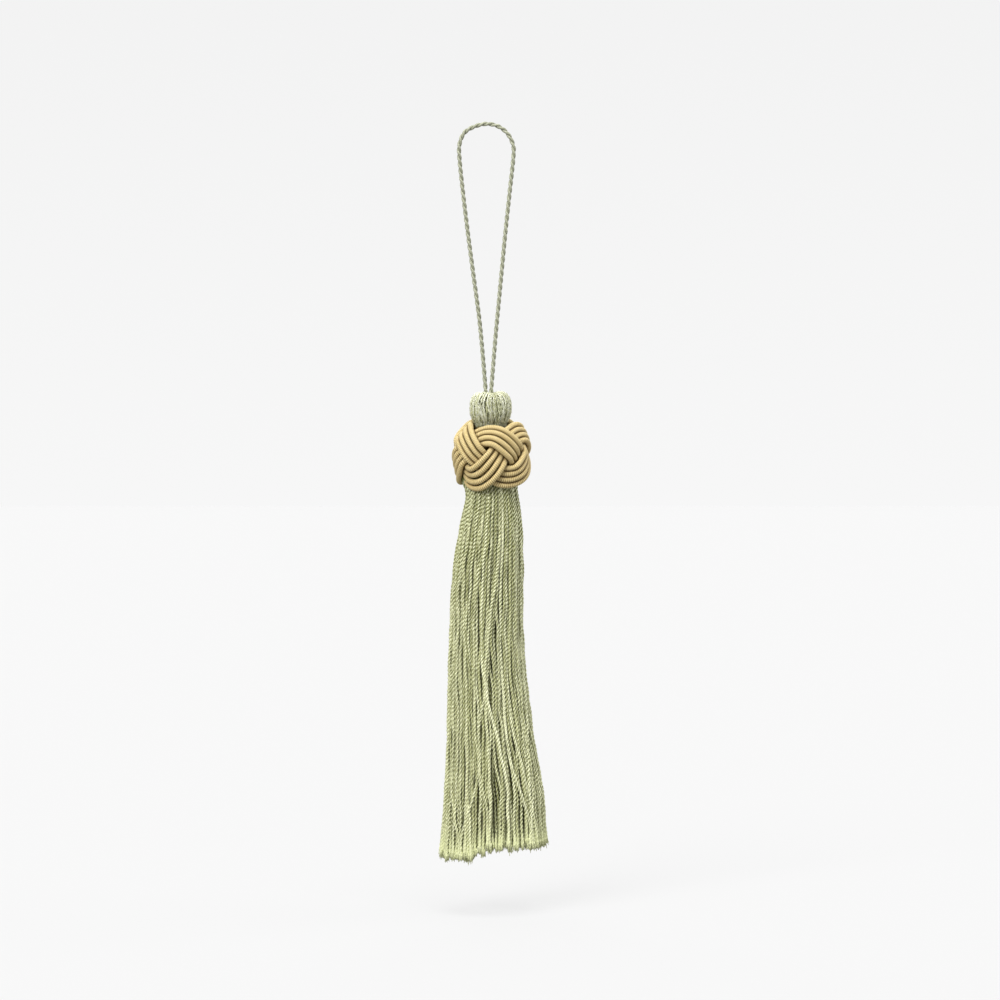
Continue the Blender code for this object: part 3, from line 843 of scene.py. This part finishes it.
def add(tree, kind, links=(), **settings):
    """A node in the tree, with those properties and links. A MapRange takes its inputs 1 and 2, least
    and most, to its inputs 3 and 4, which are 0 and 1."""
    node = tree.nodes.new("ShaderNode" + kind)
    for name, value in settings.items():
        setattr(node, name, value)
    feed(tree, node, links)
    return node


def mask(tree, name):
    return add(tree, "Attribute", attribute_name=name).outputs["Fac"]


def maths(tree, operation, *values):
    return add(tree, "Math", list(enumerate(values)), operation=operation).outputs[0]


def mixed(tree, factor, first, second, blend="MIX"):
    node = add(tree, "Mix", [(0, factor), (6, first), (7, second)], data_type="RGBA", blend_type=blend)
    return node.outputs[2]


# %% Streaks of filaments
THREADS_APART, BUMP_DEPTH, STREAK_ROUGH = 53.0, 0.00007, 0.14
fibres, given, result = new_group(
    "thread_fibres",
    [("Place", "Vector", None), ("Across", "Float", 3.0),
     ("Along", "Float", 1.0), ("Thread", "Float", 0.0)],
    [("Streaks", "Float"), ("Height", "Float")],
)
place = add(fibres, "SeparateXYZ", [(0, given["Place"])])
round_it = maths(fibres, "MULTIPLY", place.outputs[0], math.tau)
wide = maths(fibres, "MULTIPLY", maths(fibres, "COSINE", round_it), given["Across"])
deep = maths(fibres, "MULTIPLY", maths(fibres, "SINE", round_it), given["Across"])
far = maths(fibres, "MULTIPLY", place.outputs[1], given["Along"])
far = maths(fibres, "MULTIPLY_ADD", given["Thread"], THREADS_APART, far)
vector = add(fibres, "CombineXYZ", [(0, wide), (1, deep), (2, far)])
noise_links = [("Vector", vector.outputs[0]), ("Scale", 1.0), ("Detail", 3.0), ("Roughness", 0.6)]
noise = add(fibres, "TexNoise", noise_links)
streaks = add(fibres, "MapRange", [(0, noise.outputs[0]), (1, 0.32), (2, 0.68)])
fibres.links.new(streaks.outputs[0], result["Streaks"])
fibres.links.new(noise.outputs[0], result["Height"])

# %% Shades of a thread
shades, given, result = new_group(
    "thread_shades",
    [("Base", "Color", (0.5, 0.5, 0.5, 1.0)), ("Light", "Color", (0.8, 0.8, 0.8, 1.0)),
     ("Deep", "Color", (0.1, 0.1, 0.1, 1.0)), ("Streaks", "Float", 0.5), ("Tone", "Float", 0.5),
     ("Painted_Shade", "Float", 0.0), ("Spread", "Float", 0.3), ("Contrast", "Float", 0.55)],
    [("Colour", "Color")],
)
above = maths(shades, "SUBTRACT", given["Streaks"], 0.25)
lifted = maths(shades, "MULTIPLY", above, given["Contrast"])
own_tone = maths(shades, "SUBTRACT", given["Tone"], 0.5)
lifted = maths(shades, "MULTIPLY_ADD", own_tone, given["Spread"], lifted)
# Above the mean the streaks mix in the light colour, partly fibre tone and partly painted sheen; below it
# the deep colour.
raised = mixed(shades, maths(shades, "MAXIMUM", lifted, 0.0), given["Base"], given["Light"])
sunk = maths(shades, "MULTIPLY", maths(shades, "MINIMUM", lifted, 0.0), -1.0)
lowered = mixed(shades, sunk, raised, given["Deep"])
# Painted shade: the shade mask mixes in the deep colour, in the grooves between plies and wherever the
# thread lies in shade.
with_painted_shade = mixed(shades, given["Painted_Shade"], lowered, given["Deep"])
shades.links.new(with_painted_shade, result["Colour"])


# %% A thread's material
def thread_material(
    name, base, light, deep, across, along, spread, contrast, painted_shade, rough, gloss, painted_light_or_shade=None
):
    """A material from the two groups: streaks and shades to its colour, streaks to its roughness and
    bump, and a mask, times one number plus another, to its painted shade. A tint of painted light or
    shade is (a mask, the values of it where the tint begins and is full, its share when full, its colour)."""
    made = bpy.data.materials.new(name)
    made.use_nodes = True
    tree = made.node_tree
    layout, own = add(tree, "UVMap", uv_map="thread").outputs[0], mask(tree, "tone")
    fibre = add(tree, "Group", [
        ("Place", layout), ("Thread", own), ("Across", across), ("Along", along),
    ], node_tree=fibres)
    streaks = fibre.outputs["Streaks"]
    low = maths(tree, "MULTIPLY_ADD", mask(tree, painted_shade[0]), painted_shade[1], painted_shade[2])
    shade = add(tree, "Group", [
        ("Base", (*base, 1.0)), ("Light", (*light, 1.0)), ("Deep", (*deep, 1.0)), ("Tone", own),
        ("Streaks", streaks), ("Painted_Shade", low), ("Spread", spread), ("Contrast", contrast),
    ], node_tree=shades)
    colour = shade.outputs["Colour"]
    if painted_light_or_shade:
        label, begins, full, share, painted_colour = painted_light_or_shade
        amount = add(tree, "MapRange", [(0, mask(tree, label)), (1, begins), (2, full), (4, share)])
        colour = mixed(tree, amount.outputs[0], colour, (*painted_colour, 1.0))
    bump = add(tree, "Bump", [
        ("Strength", 0.6), ("Distance", BUMP_DEPTH), ("Height", fibre.outputs["Height"]),
    ])
    streaky = maths(tree, "MULTIPLY_ADD", streaks, -STREAK_ROUGH, rough + STREAK_ROUGH / 2)
    feed(tree, tree.nodes["Principled BSDF"], [
        ("Normal", bump.outputs[0]), ("Roughness", streaky), ("Base Color", colour),
        ("Specular IOR Level", gloss),
    ])
    return made


# %% [markdown]
# ## The four finishes
#
# The skirt is a sage green with painted light at the foot, which turns paler there for the light that
# comes through the cut ends. The head is the same yarn with a paler base and a near-white light colour,
# painted light for the strong light on its crown, and inside the knot it gets painted brown shade for
# the light that the cords round it throw back. The loop's cord is greyer. The gimp is old gold, with
# painted brown shade between its turns and in the valleys of its wraps.

# %% Finishes
# Painted light at the foot: the last part of each yarn and its filaments turn paler, for the light that
# comes through the cut ends.
skirt_finish = thread_material(
    "skirt_yarn", base=(0.49, 0.50, 0.27), light=(0.93, 0.94, 0.66), deep=(0.085, 0.09, 0.004),
    across=1.6, along=0.9, spread=0.70, contrast=1.05, painted_shade=("painted_shade", 0.88, 0.0),
    rough=0.38, gloss=0.25, painted_light_or_shade=("along", 0.92, 0.99, 0.8, (0.56, 0.585, 0.32)),
)
# Painted light and shade: the head is the skirt's yarn given a paler base and a near-white light colour for
# the strong light on its crown, and a brown tint of painted shade inside the knot.
head_finish = thread_material(
    "head_yarn", base=(0.60, 0.61, 0.34), light=(0.97, 0.98, 0.84), deep=(0.075, 0.078, 0.012),
    across=1.8, along=0.7, spread=1.2, contrast=1.4, painted_shade=("painted_shade", 0.50, 0.0),
    rough=0.31, gloss=0.55, painted_light_or_shade=("painted_shade", 1.3, 2.2, 1.0, (0.26, 0.15, 0.03)),
)
loop_finish = thread_material(
    "loop_cord", base=(0.30, 0.31, 0.215), light=(0.54, 0.55, 0.42), deep=(0.07, 0.075, 0.035),
    across=2.6, along=0.8, spread=0.4, contrast=0.6, painted_shade=("painted_shade", 0.5, 0.0),
    rough=0.42, gloss=0.4,
)
# Painted shade in the gimp: 0.85 of the deep colour on the low line between the wraps and none on the
# ridge, and a brown tint where turns of the cord lie close.
gimp_finish = thread_material(
    "gimp_gold", base=(0.755, 0.612, 0.30), light=(0.93, 0.825, 0.515), deep=(0.15, 0.08, 0.004),
    across=0.5, along=5.0, spread=0.0, contrast=0.55, painted_shade=("height", -0.85, 0.85),
    rough=0.45, gloss=0.12, painted_light_or_shade=("crevice_shade", 0.0, 1.0, 0.92, (0.10, 0.042, 0.002)),
)
finished = (
    (skirt_finish, skirt), (head_finish, head), (loop_finish, [loop_cord]), (gimp_finish, [gimp_knot]),
)
for finish, pieces in finished:
    for piece in pieces:
        piece.data.materials.append(finish)
    print("finish", finish.name, "on", len(pieces), "pieces")

# %% [markdown]
# ## Floor and light
#
# The tassel hangs a finger's width above a pale seamless floor. Very soft suns stand for the studio's
# large lamps: one from the upper left, one from above and two weak ones for the right side and the
# back. The floor and the background shine a little to the camera, the floor evenly and the background
# a shade paler near the horizon, so that they meet without an edge.

# %% The floor
FLOOR_Z = -0.2594
FLOOR_RINGS, FLOOR_SIDES = 24, 64
steps = np.concatenate([[0.0], np.geomspace(0.05, 60.0, FLOOR_RINGS)])
swing = np.arange(FLOOR_SIDES) * math.tau / FLOOR_SIDES
disc = np.stack([
    steps[:, None] * np.cos(swing), steps[:, None] * np.sin(swing),
    np.full((FLOOR_RINGS + 1, FLOOR_SIDES), FLOOR_Z),
], -1).reshape(-1, 3)[FLOOR_SIDES - 1:]
ring = 1 + np.arange(FLOOR_RINGS - 1)[:, None] * FLOOR_SIDES + np.arange(FLOOR_SIDES)
beyond = np.roll(ring, -1, axis=1)
floor_quads = np.stack([ring, ring + FLOOR_SIDES, beyond + FLOOR_SIDES, beyond], -1).reshape(-1, 4)
floor_middle = np.stack([np.zeros(FLOOR_SIDES, int), ring[0], beyond[0]], -1)
floor = new_piece("floor", disc / MM, [floor_quads, floor_middle], {}, {})
paint = bpy.data.materials.new("floor_paint")
paint.use_nodes = True
tree = paint.node_tree
floor_seen = add(tree, "LightPath").outputs["Is Camera Ray"]
glow = add(tree, "MapRange", [(0, floor_seen), (3, 0.32), (4, 0.745)])
feed(tree, tree.nodes["Principled BSDF"], [
    ("Base Color", (0.10, 0.10, 0.10, 1.0)), ("Emission Color", (1.0, 1.0, 1.0, 1.0)),
    ("Emission Strength", glow.outputs[0]), ("Roughness", 0.9), ("Specular IOR Level", 0.0),
])
floor.data.materials.append(paint)

# %% The lights
def soft_sun(name, strength, azimuth, elevation, spread):
    """A sun from that compass side (0 is the front, positive to the right), as wide as spread."""
    lamp = bpy.data.lights.new(name, "SUN")
    lamp.energy = strength
    lamp.angle = math.radians(spread)
    made = bpy.data.objects.new(name, lamp)
    made.rotation_euler = (math.radians(90.0 - elevation), 0.0, math.radians(azimuth))
    bpy.context.collection.objects.link(made)


soft_sun("key", strength=2.95, azimuth=-32.0, elevation=32.0, spread=30.0)
soft_sun("top", strength=2.3, azimuth=4.0, elevation=72.0, spread=35.0)
soft_sun("side", strength=1.4, azimuth=98.0, elevation=22.0, spread=50.0)
soft_sun("back", strength=1.2, azimuth=190.0, elevation=30.0, spread=60.0)
bpy.context.scene.view_settings.view_transform = "Standard"
world = bpy.data.worlds.new("studio")
world.use_nodes = True
bpy.context.scene.world = world
tree = world.node_tree
seen = add(tree, "LightPath").outputs["Is Camera Ray"]
aim = add(tree, "SeparateXYZ", [(0, add(tree, "TexCoord").outputs["Generated"])])
shown = add(tree, "MapRange", [(0, aim.outputs[2]), (1, 0.0), (2, 0.17), (3, 0.93), (4, 0.896)])
level = add(tree, "MapRange", [(0, seen), (3, 0.42), (4, shown.outputs[0])])
feed(tree, tree.nodes["Background"], [("Strength", level.outputs[0]), ("Color", (1.0, 1.0, 1.0, 1.0))])

# %% [markdown]
# ## The pieces on one body
#
# Every piece rides on the one body, since nothing on a tassel is jointed. The triangles of all the
# pieces are counted.

# %% Riding and finishing
pieces = [loop_cord, gimp_knot, *skirt, *head]
for piece in pieces:
    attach(piece, "root")
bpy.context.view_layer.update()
made = [len(piece.data.loops) - 2 * len(piece.data.polygons) for piece in pieces]
print("triangles in all", sum(made), "and at most", max(made), "in one piece")
